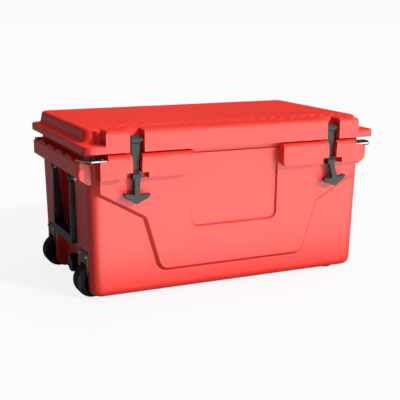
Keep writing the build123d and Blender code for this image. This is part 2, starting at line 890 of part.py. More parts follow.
# ---------------------------------------------------------------- latches
# Rubber pulls: a barrel on the pin, a tapering strap, a block for the keeper and an anchor-shaped grip.
strap_front = lid_front + strap_setback
block_front = lid_front + block_setback
strap_top = latch_pin_height - barrel_radius
nick_height = rim_height - nick_drop
block_top = rim_height - block_top_drop
block_wide = rim_height - block_wide_drop
block_bottom = rim_height - block_bottom_drop
latch_low = block_bottom - 2 * tee_reach
for end, side in sides.items():
    latch_x = end * latch_place
    with BuildPart() as latch:
        # side view: barrel, strap with a nick above the block, and the block
        with BuildSketch(profile(latch_x)):
            with BuildLine():
                Polyline(
                    (strap_front, latch_pin_height),
                    (strap_front, nick_height),
                    (strap_front + nick_depth, nick_height - nick_depth),
                    (strap_front, block_top),
                    (block_front, block_wide),
                    (block_front, block_bottom),
                    (strap_front + strap_thickness, block_bottom),
                    (strap_front + strap_thickness, latch_pin_height),
                    close=True,
                )
            make_face()
        extrude(amount=block_width / 2, both=True)
        # front view: the strap tapers to the nick, then the block flares
        with BuildSketch(facing(0, latch_x)):
            with BuildLine():
                Polyline(
                    (0, latch_pin_height),
                    (strap_top_width / 2, latch_pin_height),
                    (strap_top_width / 2, strap_top - strap_blend),
                    (strap_bottom_width / 2, nick_height),
                    (strap_bottom_width / 2, block_top),
                    (block_width / 2, block_wide),
                    (block_width / 2, block_bottom),
                    (0, block_bottom),
                )
                mirror(about=Plane.YZ)
            make_face()
        extrude(amount=lid_depth, mode=Mode.INTERSECT)
        chamfer(latch.faces().sort_by(Axis.Z)[0].edges(), block_edge)
        with BuildSketch(profile(latch_x)):
            with Locations((latch_pin_y, latch_pin_height)):
                Circle(barrel_radius)
        extrude(amount=barrel_width / 2, both=True)
        fillet(latch.edges().filter_by(GeomType.CIRCLE).sort_by(SortBy.LENGTH)[-2:], barrel_edge)

        # tail and grip, leaning in the plane of the front
        tail_front = mid_y + lid_front + tail_setback
        tail_plane = Plane(
            origin=(latch_x + tail_bends[end], tail_front, block_bottom),
            x_dir=(cos(radians(tail_leans[end])), 0, sin(radians(tail_leans[end]))),
            z_dir=(0, -1, 0),
        )
        with BuildSketch(tail_plane):
            with BuildLine():
                Line((0, -tee_junction), (tail_width / 2, -tee_junction))
                ThreePointArc(
                    (tail_width / 2, -tee_junction),
                    (tee_half / 2, -tee_junction + tee_tip_round / 2),
                    (tee_half - tee_tip_round, -tee_tip),
                )
                ThreePointArc(
                    (tee_half - tee_tip_round, -tee_tip),
                    (tee_half - tee_tip_round / 2, -tee_tip - tee_tip_round / 4),
                    (tee_half, -tee_tip - tee_tip_round),
                )
                ThreePointArc(
                    (tee_half, -tee_tip - tee_tip_round),
                    (tee_half - 2 * tee_tip_round, -tee_belly + tee_tip_round / 2),
                    (tee_half / 2, -(tee_belly + tee_point_round)),
                )
                Line((tee_half / 2, -(tee_belly + tee_point_round)), (0, -tee_reach))
                mirror(about=Plane.YZ)
            make_face()
            with BuildLine():
                Polyline(
                    (-tail_bends[end] - tail_width / 2, tail_root),
                    (-tail_bends[end] + tail_width / 2, tail_root),
                    (tail_width / 2, -tee_junction),
                    (0, -tee_junction - tail_width / 2),
                    (-tail_width / 2, -tee_junction),
                    close=True,
                )
            make_face()
        extrude(amount=-tail_thickness)
        tail_edges = latch.edges().filter_by_position(Axis.Y, tail_front - pick_band, tail_front + pick_band)
        fillet(tail_edges.filter_by_position(Axis.Z, latch_low, block_bottom - tail_root), tail_edge)
        with BuildSketch(profile(latch_x)):
            with Locations((latch_pin_y, latch_pin_height)):
                Circle(latch_pin_radius + running_clearance)
        extrude(amount=barrel_width, both=True, mode=Mode.SUBTRACT)
    latch.part.label = f"latch_{side}"
    export_step(latch.part, f"parts/latch_{side}.step")

    with BuildPart() as latch_pin:
        with BuildSketch(end_on(latch_pin_start, end, latch_pin_y)):
            with Locations((0, latch_pin_height)):
                Circle(latch_pin_radius)
        extrude(amount=beam_half - latch_pin_inset + latch_pin_tip - latch_pin_start)
    latch_pin.part.label = f"latch_pin_{side}"
    export_step(latch_pin.part, f"parts/latch_pin_{side}.step")

# ---------------------------------------------------------------- lock plates
plate_back_y = plate_back - plate_clearance - half_depth
for end, side in sides.items():
    with BuildPart() as lock_plate:
        with BuildSketch(level(ledge_top)):
            with BuildLine():
                Polyline(
                    (end * ledge_end, ledge_corner - ledge_half),
                    (end * ledge_end, plate_nose - plate_clearance - ledge_half),
                    (end * (plate_inner_x + plate_nose + plate_clearance), plate_back_y),
                    (end * (plate_inner_x + plate_clearance), plate_back_y - plate_nose),
                    (end * plate_inner_x, lid_front + plate_front_gap),
                )
                Line(
                    (end * plate_inner_x, lid_front + plate_front_gap),
                    (end * lock_hole_x, lid_front + plate_front_gap),
                )
                ThreePointArc(
                    (end * lock_hole_x, lid_front + plate_front_gap),
                    (end * (lock_hole_x + plate_nose), -lock_hole_y),
                    (end * ledge_end, ledge_corner - ledge_half),
                )
            make_face()
            with Locations((end * lock_hole_x, -lock_hole_y)):
                Circle(bush_radius, mode=Mode.SUBTRACT)
            for x, y in plate_screws:
                with Locations((end * x, y)):
                    Circle(screw_radius, mode=Mode.SUBTRACT)
        extrude(amount=plate_thickness)
    lock_plate.part.label = f"lock_plate_{side}"
    export_step(lock_plate.part, f"parts/lock_plate_{side}.step")

    with BuildPart() as lock_bush:
        with BuildSketch(level(ledge_top - bush_flange)):
            with Locations((end * lock_hole_x, -lock_hole_y)):
                Circle(bush_flange_radius)
        extrude(amount=bush_flange)
        with BuildSketch(level(ledge_top)):
            with Locations((end * lock_hole_x, -lock_hole_y)):
                Circle(bush_radius)
        extrude(amount=plate_thickness)
        with BuildSketch(level(ledge_top - bush_flange)):
            with Locations((end * lock_hole_x, -lock_hole_y)):
                Circle(lock_bore_radius)
        extrude(amount=bush_flange + plate_thickness, mode=Mode.SUBTRACT)
    lock_bush.part.label = f"lock_bush_{side}"
    export_step(lock_bush.part, f"parts/lock_bush_{side}.step")

with BuildPart() as lock_plate_screws:
    screw_places = []
    for end in sides:
        for x, y in plate_screws:
            screw_places.append((end * x, y))
    with BuildSketch(level(ledge_top + plate_thickness)):
        with Locations(screw_places):
            Circle(screw_radius)
    extrude(amount=-plate_thickness - screw_length)
    with BuildSketch(level(ledge_top + plate_thickness)):
        with Locations(screw_places):
            Circle(screw_head_radius)
    extrude(amount=screw_head, taper=screw_head_taper)
lock_plate_screws.part.label = "lock_plate_screws"
export_step(lock_plate_screws.part, "parts/lock_plate_screws.step")

# ---------------------------------------------------------------- end handles
for end, side in sides.items():
    with BuildPart() as handle:
        # the curved side of the bail, cut into a loop of two arms and a grip
        grip_top = handle_grip_bottom + handle_grip_height
        with BuildSketch(facing(0)):
            with Locations((end * pivot_x, pivot_height)):
                Circle(handle_boss_radius)
            with BuildLine():
                Polyline(
                    (end * (handle_outer_x - handle_boss_step), pivot_height),
                    (end * handle_outer_x, grip_top),
                    (end * handle_outer_x, handle_grip_bottom),
                    (end * (handle_outer_x - handle_grip_depth), handle_grip_bottom),
                    (end * (handle_outer_x - handle_grip_depth), grip_top),
                    (end * (handle_outer_x - handle_top_depth), pivot_height),
                    close=True,
                )
            make_face()
        extrude(amount=handle_half, both=True)
        with BuildSketch(end_on(0, end)):
            with Locations((0, grip_top)):
                Rectangle(2 * (handle_half - handle_arm), recess_top, align=(Align.CENTER, Align.MIN))
        extrude(amount=ledge_end, mode=Mode.SUBTRACT)
        grip_ends = handle.edges().filter_by(Axis.X).group_by(Axis.Z)[0]
        fillet(grip_ends, handle_corner)
        with BuildSketch(facing(0)):
            with Locations((end * pivot_x, pivot_height)):
                Circle(handle_pin_radius + running_clearance)
        extrude(amount=handle_half, both=True, mode=Mode.SUBTRACT)
    handle.part.label = f"handle_{side}"
    export_step(handle.part, f"parts/handle_{side}.step")

with BuildPart() as handle_pins:
    pin_start = handle_half - handle_arm - handle_pin_inset
    for end in sides:
        for row in rows:
            with BuildSketch(facing(row * pin_start, end * pivot_x)):
                with Locations((0, pivot_height)):
                    Circle(handle_pin_radius)
            extrude(amount=-row * (recess_half + handle_pin_hold - pin_start))
handle_pins.part.label = "handle_pins"
export_step(handle_pins.part, "parts/handle_pins.step")

# ---------------------------------------------------------------- wheels
for row, place in rows.items():
    wheel_y = row * wheel_half_track

    with BuildPart() as wheel_tyre:
        with BuildSketch(facing(wheel_y - wheel_width / 2, -wheel_center_x)):
            with Locations((0, wheel_radius)):
                Circle(wheel_radius)
        extrude(amount=-wheel_width)
        fillet(wheel_tyre.edges(), tyre_crown)
        with BuildSketch(facing(wheel_y, -wheel_center_x)):
            with Locations((0, wheel_radius)):
                Circle(hub_radius)
        extrude(amount=wheel_width, both=True, mode=Mode.SUBTRACT)
    wheel_tyre.part.label = f"wheel_tyre_{place}"
    export_step(wheel_tyre.part, f"parts/wheel_tyre_{place}.step")

    with BuildPart() as wheel_hub:
        with BuildSketch(facing(wheel_y, -wheel_center_x)):
            with Locations((0, wheel_radius)):
                Circle(hub_radius)
                Circle(hub_radius - hub_rim, mode=Mode.SUBTRACT)
        extrude(amount=wheel_width / 2 - tyre_crown, both=True)
        with BuildSketch(facing(wheel_y, -wheel_center_x)):
            with Locations((0, wheel_radius)):
                Circle(hub_radius)
        extrude(amount=hub_web / 2, both=True)
        with BuildSketch(facing(wheel_y, -wheel_center_x)):
            with Locations((0, wheel_radius)):
                Circle(hub_boss_radius)
        extrude(amount=wheel_width / 2, both=True)
        with BuildSketch(facing(wheel_y, -wheel_center_x)):
            with Locations((0, wheel_radius)):
                Circle(axle_radius + running_clearance)
        extrude(amount=wheel_width, both=True, mode=Mode.SUBTRACT)
    wheel_hub.part.label = f"wheel_hub_{place}"
    export_step(wheel_hub.part, f"parts/wheel_hub_{place}.step")

    with BuildPart() as wheel_axle:
        axle_half = fork_half + fork_thickness
        with BuildSketch(facing(wheel_y - axle_half, -wheel_center_x)):
            with Locations((0, wheel_radius)):
                Circle(axle_radius)
        extrude(amount=-2 * axle_half)
        with BuildSketch(facing(wheel_y - axle_half, -wheel_center_x)):
            with Locations((0, wheel_radius)):
                Circle(axle_head_radius)
        extrude(amount=axle_head)
    wheel_axle.part.label = f"wheel_axle_{place}"
    export_step(wheel_axle.part, f"parts/wheel_axle_{place}.step")

    # folded steel fork: a plate on the end wall with two arms bent back beside the wheel
    with BuildPart() as wheel_bracket:
        with BuildSketch(end_on(bracket_seat_x, -1, wheel_y)):
            with Locations((0, bracket_leg_bottom)):
                Rectangle(2 * bracket_half, bracket_top - bracket_leg_bottom, align=(Align.CENTER, Align.MIN))
                Rectangle(
                    2 * fork_half,
                    bracket_web_bottom - bracket_leg_bottom,
                    align=(Align.CENTER, Align.MIN),
                    mode=Mode.SUBTRACT,
                )
            fillet(vertices().group_by(Axis.Y)[-1], bracket_corner)
            with Locations((0, bracket_screw_height)):
                with GridLocations(2 * bracket_screw_half, 1, 2, 1):
                    Circle(screw_radius, mode=Mode.SUBTRACT)
        extrude(amount=fork_thickness)
        for cheek in (-1, 1):
            with BuildSketch(facing(wheel_y + cheek * fork_half)):
                with Locations((-wheel_center_x, wheel_radius)):
                    Circle(fork_eye_radius)
                with Locations((-bracket_seat_x - fork_thickness, bracket_leg_bottom)):
                    Rectangle(
                        2 * fork_eye_radius,
                        bracket_web_bottom + bracket_corner - bracket_leg_bottom,
                        align=(Align.MIN, Align.MIN),
                    )
                make_hull()
                with Locations((-wheel_center_x, wheel_radius)):
                    Circle(axle_radius, mode=Mode.SUBTRACT)
            extrude(amount=-cheek * fork_thickness)
    wheel_bracket.part.label = f"wheel_bracket_{place}"
    export_step(wheel_bracket.part, f"parts/wheel_bracket_{place}.step")

with BuildPart() as axle_nuts:
    for row in rows:
        with BuildSketch(facing(row * wheel_half_track + fork_half + fork_thickness, -wheel_center_x)):
            with Locations((0, wheel_radius)):
                Circle(axle_head_radius)
        extrude(amount=-axle_head)
axle_nuts.part.label = "axle_nuts"
export_step(axle_nuts.part, "parts/axle_nuts.step")

with BuildPart() as wheel_bracket_screws:
    for row in rows:
        with BuildSketch(end_on(bracket_seat_x + fork_thickness, -1, row * wheel_half_track)):
            with Locations((0, bracket_screw_height)):
                with GridLocations(2 * bracket_screw_half, 1, 2, 1):
                    Circle(screw_radius)
        extrude(amount=-screw_length)
        with BuildSketch(end_on(bracket_seat_x + fork_thickness, -1, row * wheel_half_track)):
            with Locations((0, bracket_screw_height)):
                with GridLocations(2 * bracket_screw_half, 1, 2, 1):
                    Circle(screw_head_radius)
        extrude(amount=screw_head, taper=screw_head_taper)
wheel_bracket_screws.part.label = "wheel_bracket_screws"
export_step(wheel_bracket_screws.part, "parts/wheel_bracket_screws.step")

# ---------------------------------------------------------------- drain
# Everything is stacked outward along the axis of the drain, from the floor of the left recess.
flange_x = channel_x + drain_washer_thickness
neck_x = flange_x + drain_flange
cap_x = neck_x + leash_thickness + 2 * leash_clearance
cap_depth = drain_neck - leash_thickness - leash_clearance

with BuildPart() as drain_washer:
    with BuildSketch(end_on(channel_x, -1)):
        with Locations((0, drain_height)):
            Circle(drain_washer_radius)
            Circle(drain_tube_radius, mode=Mode.SUBTRACT)
    extrude(amount=drain_washer_thickness)
drain_washer.part.label = "drain_washer"
export_step(drain_washer.part, "parts/drain_washer.step")

with BuildPart() as drain_fitting:
    with BuildSketch(end_on(flange_x, -1)):
        with Locations((0, drain_height)):
            Circle(drain_flange_radius)
    extrude(amount=drain_flange)
    with BuildSketch(end_on(neck_x, -1)):
        with Locations((0, drain_height)):
            Circle(drain_neck_radius)
    extrude(amount=drain_neck)
    with BuildSketch(end_on(flange_x, -1)):
        with Locations((0, drain_height)):
            Circle(drain_tube_radius)
    extrude(amount=drain_seat_x - drain_nut_thickness - flange_x)
    with BuildSketch(end_on(neck_x + drain_neck, -1)):
        with Locations((0, drain_height)):
            Circle(drain_bore)
    extrude(amount=-tub_length, mode=Mode.SUBTRACT)
drain_fitting.part.label = "drain_fitting"
export_step(drain_fitting.part, "parts/drain_fitting.step")

with BuildPart() as drain_nut:
    with BuildSketch(end_on(drain_seat_x, -1)):
        with Locations((0, drain_height)):
            RegularPolygon(drain_nut_radius, 6)
            Circle(drain_tube_radius, mode=Mode.SUBTRACT)
    extrude(amount=-drain_nut_thickness)
drain_nut.part.label = "drain_nut"
export_step(drain_nut.part, "parts/drain_nut.step")

with BuildPart() as drain_cap:
    with BuildSketch(end_on(cap_x, -1)):
        with Locations((0, drain_height)):
            Circle(cap_radius)
    extrude(amount=cap_depth + cap_end)
    with BuildSketch(end_on(cap_x, -1)):
        with Locations((0, drain_height)):
            Circle(drain_neck_radius + running_clearance)
    extrude(amount=cap_depth, mode=Mode.SUBTRACT)
    with BuildSketch(end_on(cap_x + cap_groove + leash_thickness, -1)):
        with Locations((0, drain_height)):
            with PolarLocations(cap_radius, cap_flutes):
                Circle(cap_flute_radius)
    extrude(amount=cap_depth + cap_end, mode=Mode.SUBTRACT)
drain_cap.part.label = "drain_cap"
export_step(drain_cap.part, "parts/drain_cap.step")

leash_drop = cap_radius - drain_neck_radius + leash_clearance
with BuildPart() as drain_leash:
    with BuildSketch(end_on(neck_x + leash_clearance, -1)):
        with Locations((0, drain_height)):
            Circle(drain_neck_radius + leash_clearance + leash_ring)
            Circle(drain_neck_radius + leash_clearance, mode=Mode.SUBTRACT)
        with Locations((0, drain_height - drain_neck_radius - leash_ring)):
            Rectangle(leash_width, leash_drop, align=(Align.CENTER, Align.MAX))
    extrude(amount=leash_thickness)
    with BuildSketch(end_on(neck_x + leash_clearance, -1)):
        with Locations((0, drain_height - cap_radius - leash_clearance)):
            Rectangle(leash_width, leash_ring, align=(Align.CENTER, Align.MAX))
    extrude(amount=leash_thickness + cap_groove + leash_width)
    with BuildSketch(end_on(cap_x + cap_groove, -1)):
        with Locations((0, drain_height)):
            Circle(cap_radius + leash_clearance + leash_ring)
            Circle(cap_radius + leash_clearance, mode=Mode.SUBTRACT)
    extrude(amount=leash_width / 2)
drain_leash.part.label = "drain_leash"
export_step(drain_leash.part, "parts/drain_leash.step")

# ---------------------------------------------------------------- feet
for row, place in rows.items():
    with BuildPart() as foot:
        with BuildSketch(level(0)):
            with Locations((foot_x, row * foot_y)):
                Circle(foot_radius)
        extrude(amount=ground_clearance)
        fillet(foot.edges().group_by(Axis.Z)[0], foot_edge)
        with BuildSketch(level(0)):
            with Locations((foot_x, row * foot_y)):
                Circle(screw_head_radius + running_clearance)
        extrude(amount=ground_clearance / 2, mode=Mode.SUBTRACT)
        with BuildSketch(level(0)):
            with Locations((foot_x, row * foot_y)):
                Circle(screw_radius)
        extrude(amount=ground_clearance, mode=Mode.SUBTRACT)
    foot.part.label = f"foot_{place}"
    export_step(foot.part, f"parts/foot_{place}.step")

with BuildPart() as foot_screws:
    foot_places = [(foot_x, row * foot_y) for row in rows]
    with BuildSketch(level(ground_clearance / 2)):
        with Locations(foot_places):
            Circle(screw_head_radius)
    extrude(amount=-screw_head)
    with BuildSketch(level(ground_clearance / 2)):
        with Locations(foot_places):
            Circle(screw_radius)
    extrude(amount=ground_clearance / 2 + screw_length)
foot_screws.part.label = "foot_screws"
export_step(foot_screws.part, "parts/foot_screws.step")
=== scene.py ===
import math

import bmesh
import bpy
import numpy as np
from mathutils import Matrix, Vector


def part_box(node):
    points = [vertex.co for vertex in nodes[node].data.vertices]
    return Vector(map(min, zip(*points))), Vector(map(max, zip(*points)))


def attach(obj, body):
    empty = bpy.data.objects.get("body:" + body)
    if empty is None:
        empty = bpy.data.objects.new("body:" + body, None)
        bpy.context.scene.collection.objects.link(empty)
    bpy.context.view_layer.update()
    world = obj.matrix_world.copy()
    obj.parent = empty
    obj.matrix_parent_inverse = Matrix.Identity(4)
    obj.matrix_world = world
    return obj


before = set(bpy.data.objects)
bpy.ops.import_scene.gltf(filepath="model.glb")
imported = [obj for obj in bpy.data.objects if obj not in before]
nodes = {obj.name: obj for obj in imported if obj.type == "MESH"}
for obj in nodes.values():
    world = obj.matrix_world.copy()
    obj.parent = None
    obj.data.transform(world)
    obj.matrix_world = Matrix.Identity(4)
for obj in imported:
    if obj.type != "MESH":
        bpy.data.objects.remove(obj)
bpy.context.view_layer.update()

# ---- Red shells ------------------------------------------------------------------------------
# The tub and the lid are each one hollow moulding of coloured polyethylene, turned in a hot mould
# until the powder coats it. The skin keeps the fine pebble of the mould and has a satin shine.
# The plugs that close the foam filling ports are of the same plastic.


def node_group(name, inputs, outputs):
    """An empty shader node group with its sockets; returns the group and its two end nodes."""
    group = bpy.data.node_groups.new(name, "ShaderNodeTree")
    for label, kind, value in inputs:
        socket = group.interface.new_socket(name=label, in_out="INPUT", socket_type=kind)
        if value is not None:
            socket.default_value = value
    for label, kind in outputs:
        group.interface.new_socket(name=label, in_out="OUTPUT", socket_type=kind)
    return group, group.nodes.new("NodeGroupInput"), group.nodes.new("NodeGroupOutput")


def feed(tree, value, socket):
    """A socket gets a link from another socket, or takes a number or an RGB tuple as it is."""
    if isinstance(value, bpy.types.NodeSocket):
        tree.links.new(value, socket)
    else:
        socket.default_value = (*value, 1) if isinstance(value, tuple) else value


def math_node(tree, operation, first, second):
    """A Math node; each operand is a socket or a number."""
    node = tree.nodes.new("ShaderNodeMath")
    node.operation = operation
    feed(tree, first, node.inputs[0])
    feed(tree, second, node.inputs[1])
    return node.outputs[0]


def colour_mix(tree, factor, first, second):
    """A colour Mix node; the factor is a socket, each colour a socket or an RGB tuple."""
    node = tree.nodes.new("ShaderNodeMix")
    node.data_type = "RGBA"
    feed(tree, factor, node.inputs["Factor"])
    feed(tree, first, node.inputs[6])
    feed(tree, second, node.inputs[7])
    return node.outputs[2]


def noise(tree, place, scale, octaves):
    """The value of a Noise Texture; its scale is a socket or a number."""
    node = tree.nodes.new("ShaderNodeTexNoise")
    feed(tree, place, node.inputs["Vector"])
    feed(tree, scale, node.inputs["Scale"])
    feed(tree, octaves, node.inputs["Detail"])
    return node.outputs["Fac"]


def stretched(tree, place, scale):
    """The place times a scale of its own on each axis; a pattern runs long where the scale is small."""
    node = tree.nodes.new("ShaderNodeMapping")
    node.inputs["Scale"].default_value = scale
    feed(tree, place, node.inputs["Vector"])
    return node.outputs["Vector"]


def pebble_group():
    """Pebbled mould skin: smooth cells at the pebble size, roughened by finer noise, as one height."""
    grit_per_pebble, grit_octaves = 2.3, 3
    group, given, out = node_group(
        "mould_pebble",
        [("Place", "NodeSocketVector", None), ("Pebbles per metre", "NodeSocketFloat", 500.0)],
        [("Height", "NodeSocketFloat")],
    )
    place, density = given.outputs["Place"], given.outputs["Pebbles per metre"]
    cells = group.nodes.new("ShaderNodeTexVoronoi")
    cells.feature = "SMOOTH_F1"
    feed(group, place, cells.inputs["Vector"])
    feed(group, density, cells.inputs["Scale"])
    grit = noise(group, place, math_node(group, "MULTIPLY", density, grit_per_pebble), grit_octaves)
    feed(group, math_node(group, "ADD", cells.outputs["Distance"], grit), out.inputs["Height"])
    return group


def handling_group():
    """Signs of handling: broad cloudy patches, and sparse fine scratches that run level."""
    patch_octaves, streak_octaves = 5, 6
    level_streaks, streaks_per_metre = (4, 4, 160), 4
    scratch_start, scratch_full = 0.68, 0.74
    group, given, out = node_group(
        "handling",
        [("Place", "NodeSocketVector", None), ("Patches per metre", "NodeSocketFloat", 6.0)],
        [("Patches", "NodeSocketFloat"), ("Scratches", "NodeSocketFloat")],
    )
    place = given.outputs["Place"]
    patches = noise(group, place, given.outputs["Patches per metre"], patch_octaves)
    streaks = noise(group, stretched(group, place, level_streaks), streaks_per_metre, streak_octaves)
    ramp = group.nodes.new("ShaderNodeValToRGB")
    ramp.color_ramp.elements[0].position = scratch_start
    ramp.color_ramp.elements[1].position = scratch_full
    feed(group, streaks, ramp.inputs["Fac"])
    feed(group, patches, out.inputs["Patches"])
    feed(group, ramp.outputs["Color"], out.inputs["Scratches"])
    return group


pebble = pebble_group()
handling = handling_group()


def placed_group(tree, group, place, setting, value):
    """A node group in a material, fed with the place on the piece and one setting of its own."""
    node = tree.nodes.new("ShaderNodeGroup")
    node.node_tree = group
    feed(tree, place, node.inputs["Place"])
    feed(tree, value, node.inputs[setting])
    return node


def blank_material(name):
    """A material with one Principled shader; returns it, its tree, the shader and the object coordinates."""
    material = bpy.data.materials.new(name)
    material.use_nodes = True
    tree = material.node_tree
    place = tree.nodes.new("ShaderNodeTexCoord").outputs["Object"]
    return material, tree, tree.nodes["Principled BSDF"], place


def bump(tree, shader, height, depth):
    """A Bump node at full strength from a height socket to the shader's normal; depth is in metres."""
    node = tree.nodes.new("ShaderNodeBump")
    node.inputs["Strength"].default_value = 1
    node.inputs["Distance"].default_value = depth
    feed(tree, height, node.inputs["Height"])
    feed(tree, node.outputs["Normal"], shader.inputs["Normal"])


def spread(tree, value, low, high):
    """A Map Range node that carries 0..1 to low..high."""
    node = tree.nodes.new("ShaderNodeMapRange")
    node.inputs["To Min"].default_value = low
    node.inputs["To Max"].default_value = high
    feed(tree, value, node.inputs["Value"])
    return node.outputs["Result"]


def moulded_plastic(name, colour, worn, pebbles, depth, rough, sheen=0.5):
    """Moulded plastic: pebbled skin, cloudy gloss, and a few pale scratches."""
    patches_per_metre, patch_wear, scratch_wear = 7.0, 0.35, 0.25
    material, tree, shader, place = blank_material(name)
    skin = placed_group(tree, pebble, place, "Pebbles per metre", pebbles)
    marks = placed_group(tree, handling, place, "Patches per metre", patches_per_metre)
    patches, scratches = marks.outputs["Patches"], marks.outputs["Scratches"]
    tone = colour_mix(tree, spread(tree, patches, 0, patch_wear), colour, worn)
    scratched = colour_mix(tree, spread(tree, scratches, 0, scratch_wear), tone, worn)
    feed(tree, scratched, shader.inputs["Base Color"])
    feed(tree, spread(tree, patches, *rough), shader.inputs["Roughness"])
    feed(tree, sheen, shader.inputs["Specular IOR Level"])
    bump(tree, shader, skin.outputs["Height"], depth)
    return material


def finish_node(name, material):
    """A carried-over CAD node gets a material."""
    nodes[name].data.materials.clear()
    nodes[name].data.materials.append(material)


red_plastic = moulded_plastic(
    "red_polyethylene", colour=(0.78, 0.022, 0.012), worn=(0.80, 0.06, 0.04),
    pebbles=620.0, depth=0.00012, rough=(0.42, 0.54),
)
for name in ("tub_shell", "lid_shell", "tub_foam_plugs", "lid_foam_plugs"):
    finish_node(name, red_plastic)

# ---- Grip scales -----------------------------------------------------------------------------
# A band of low crescent ridges is moulded into the top of the lid behind its front edge, in
# staggered rows like fish scales, so that a seat or a wet load keeps its place.
scale_rows, scale_pitch, row_pitch = 3, 0.030, 0.019
scale_radius, ridge_half, ridge_rise = 0.0125, 0.0017, 0.0012
band_half, band_front = 0.345, 0.050


def crescents(centres, radius, half_width, rise):
    """Half rings, open to the front: along angle t the centre line is centre + radius (cos t, sin t), and
    around it at angle s the section is an ellipse (half_width cos s, rise sin s) that tapers to a point at
    both ends as the square root of sin t."""
    points_along, points_around = 11, 6
    t = np.linspace(0, math.pi, points_along)[None, :, None]
    s = np.linspace(0, 2 * math.pi, points_around + 1)[None, None, :-1]
    taper = np.sqrt(np.clip(np.sin(t), 0, 1))
    reach = radius + half_width * taper * np.cos(s)
    x = centres[:, 0, None, None] + reach * np.cos(t)
    y = centres[:, 1, None, None] + reach * np.sin(t)
    z = centres[:, 2, None, None] + rise * taper * np.sin(s)
    points = np.stack(np.broadcast_arrays(x, y, z), axis=-1)
    index = np.arange(points[..., 0].size).reshape(points.shape[:3])
    here, beyond = index[:, :-1], index[:, 1:]
    quads = np.stack([here, np.roll(here, -1, axis=2), np.roll(beyond, -1, axis=2), beyond], axis=-1)
    return points.reshape(-1, 3), quads.reshape(-1, 4)


def surface_piece(name, points, quads):
    """A closed piece from a grid of points and its quads, merged at its poles, shaded smooth."""
    same_place = 1e-6
    mesh = bpy.data.meshes.new(name)
    mesh.from_pydata(points.tolist(), [], quads.tolist())
    shell = bmesh.new()
    shell.from_mesh(mesh)
    bmesh.ops.remove_doubles(shell, verts=shell.verts, dist=same_place)
    bmesh.ops.recalc_face_normals(shell, faces=shell.faces)
    shell.to_mesh(mesh)
    shell.free()
    mesh.shade_smooth()
    piece = bpy.data.objects.new(name, mesh)
    bpy.context.scene.collection.objects.link(piece)
    return piece


lid_low, lid_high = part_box("lid_shell")
scales_in_row = round(2 * band_half / scale_pitch)
row, column = np.meshgrid(np.arange(scale_rows), np.arange(scales_in_row), indexing="ij")
stagger = (row % 2) * scale_pitch / 2
scale_centres = np.stack(
    [
        (column * scale_pitch + stagger - band_half + scale_pitch / 2).ravel(),
        (lid_low[1] + band_front + row * row_pitch).ravel(),
        np.full(row.size, lid_high[2]),
    ],
    axis=-1,
)
grip_scales = surface_piece("grip_scales", *crescents(scale_centres, scale_radius, ridge_half, ridge_rise))
grip_scales.data.materials.append(red_plastic)
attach(grip_scales, "lid")

# ---- Foam ------------------------------------------------------------------------------------
# The hollow walls of tub and lid are filled with rigid polyurethane foam. It is poured in through
# the ports as a liquid and swells until it fills them, so it takes the form of the skins.
foam = moulded_plastic(
    "polyurethane_foam", colour=(0.80, 0.72, 0.46), worn=(0.66, 0.56, 0.32),
    pebbles=900.0, depth=0.0004, rough=(0.85, 0.95),
)
for name in ("tub_foam", "lid_foam"):
    finish_node(name, foam)

# ---- Black mouldings -------------------------------------------------------------------------
# The swing handles, wheel hubs, drain fitting with its nut and cap, and padlock bushes are
# injection-moulded black nylon with a finer, drier skin than the shells.
black_plastic = moulded_plastic(
    "black_nylon", colour=(0.010, 0.011, 0.012), worn=(0.030, 0.030, 0.031),
    pebbles=1400.0, depth=0.00005, rough=(0.38, 0.5), sheen=0.2,
)
for name in (
    "handle_left", "handle_right", "wheel_hub_front", "wheel_hub_rear", "drain_fitting", "drain_nut",
    "drain_cap", "lock_bush_left", "lock_bush_right",
):
    finish_node(name, black_plastic)

# ---- Rubber ----------------------------------------------------------------------------------
# The pull latches are soft moulded rubber, near black with a green cast and a waxy bloom. Tyres,
# feet, the gasket, the drain washer and the leash are plain black rubber.


def rubber(name, colour, bloom, rough):
    """Rubber: a dark body with a pale bloom in broad patches and a fine matt grain."""
    grains_per_metre, grain_depth = 1900.0, 0.00005
    blooms_per_metre, bloom_share, sheen = 22.0, 0.8, 0.15
    material, tree, shader, place = blank_material(name)
    skin = placed_group(tree, pebble, place, "Pebbles per metre", grains_per_metre)
    marks = placed_group(tree, handling, place, "Patches per metre", blooms_per_metre)
    patches = marks.outputs["Patches"]
    tone = colour_mix(tree, spread(tree, patches, 0, bloom_share), colour, bloom)
    feed(tree, tone, shader.inputs["Base Color"])
    feed(tree, spread(tree, patches, *rough), shader.inputs["Roughness"])
    feed(tree, sheen, shader.inputs["Specular IOR Level"])
    bump(tree, shader, skin.outputs["Height"], grain_depth)
    return material


latch_rubber = rubber(
    "latch_rubber", colour=(0.022, 0.033, 0.030), bloom=(0.040, 0.056, 0.052), rough=(0.42, 0.6)
)
black_rubber = rubber(
    "black_rubber", colour=(0.010, 0.010, 0.011), bloom=(0.030, 0.030, 0.032), rough=(0.6, 0.8)
)
for name in ("latch_left", "latch_right"):
    finish_node(name, latch_rubber)
for name in (
    "wheel_tyre_front", "wheel_tyre_rear", "foot_front", "foot_rear", "lid_gasket", "drain_washer",
    "drain_leash",
):
    finish_node(name, black_rubber)

# ---- Steel -----------------------------------------------------------------------------------
# Lock plates, rods, pins, axles and screws are stainless steel with a fine brushed grain. The
# wheel brackets are pressed steel under a dark olive zinc coat.


